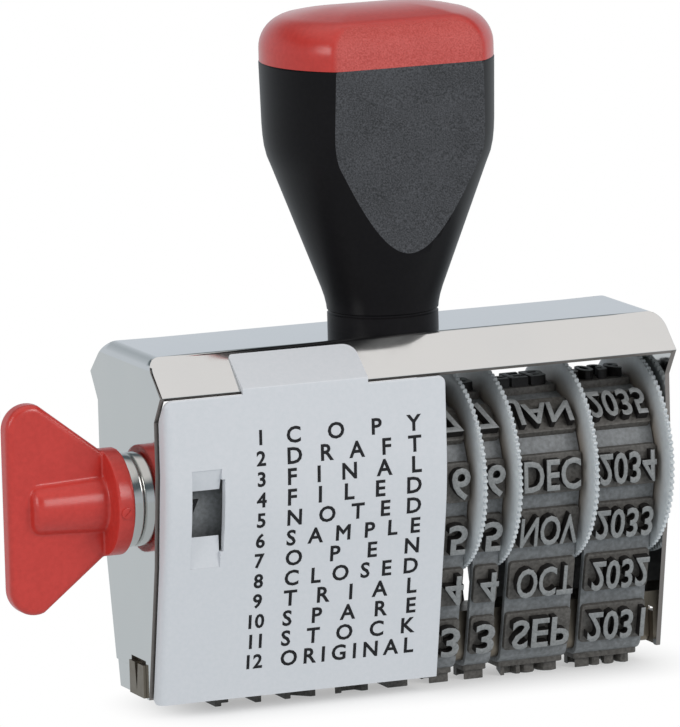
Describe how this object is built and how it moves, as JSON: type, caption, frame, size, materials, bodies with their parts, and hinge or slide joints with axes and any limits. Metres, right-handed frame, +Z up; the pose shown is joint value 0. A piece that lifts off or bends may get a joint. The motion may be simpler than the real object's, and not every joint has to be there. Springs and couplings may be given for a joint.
{
  "type": "date stamp",
  "caption": "Band date stamp: bent steel frame with a grip, a wing knob that turns a wide phrase band behind a cover, and toothed thumbwheels that turn the day, month and year bands.",
  "frame": {"origin": "on the printing plane, under the handle's axis, in the middle of the frame's length and depth", "axes": "+X along the frame away from the wing knob, +Y from the front with the cover to the back, +Z up to the handle"},
  "size_m": [0.085, 0.0258, 0.085],
  "materials": {
    "nickel_steel": "nickel plated, polished",
    "plain_steel": "zinc plated",
    "black_plastic": "satin, grained on the facets",
    "red_plastic": "satin",
    "white_plastic": "satin",
    "nylon": "natural nylon, satin",
    "type_rubber": "moulded, matt"
  },
  "bodies": {
    "frame": {"frame_shell": "nickel_steel", "platen_rail": "plain_steel", "handle_grip": "black_plastic", "handle_cap": "red_plastic", "handle_screw": "plain_steel", "handle_washer": "plain_steel", "phrase_cover": "white_plastic", "knob_bush": "nickel_steel", "axle": "plain_steel", "phrase_band": "type_rubber", "day_tens_band": "type_rubber", "day_units_band": "type_rubber", "month_band": "type_rubber", "year_band": "type_rubber"},
    "phrase_dial": {"wing_knob": "red_plastic", "knob_spindle": "plain_steel", "phrase_drum": "nylon"},
    "day_tens_dial": {"day_tens_wheel": "nylon"},
    "day_units_dial": {"day_units_wheel": "nylon"},
    "month_dial": {"month_wheel": "nylon"},
    "year_dial": {"year_wheel": "nylon"}
  },
  "joints": [
    {"name": "phrase_turn", "type": "hinge", "parent": "frame", "child": "phrase_dial", "pos_m": [-0.034, 0, 0.0265], "axis": [1, 0, 0], "continuous": true},
    {"name": "day_tens_turn", "type": "hinge", "parent": "frame", "child": "day_tens_dial", "pos_m": [0.0055, 0, 0.0265], "axis": [1, 0, 0], "continuous": true},
    {"name": "day_units_turn", "type": "hinge", "parent": "frame", "child": "day_units_dial", "pos_m": [0.0102, 0, 0.0265], "axis": [1, 0, 0], "continuous": true},
    {"name": "month_turn", "type": "hinge", "parent": "frame", "child": "month_dial", "pos_m": [0.0177, 0, 0.0265], "axis": [1, 0, 0], "continuous": true},
    {"name": "year_turn", "type": "hinge", "parent": "frame", "child": "year_dial", "pos_m": [0.028, 0, 0.0265], "axis": [1, 0, 0], "continuous": true}
  ]
}
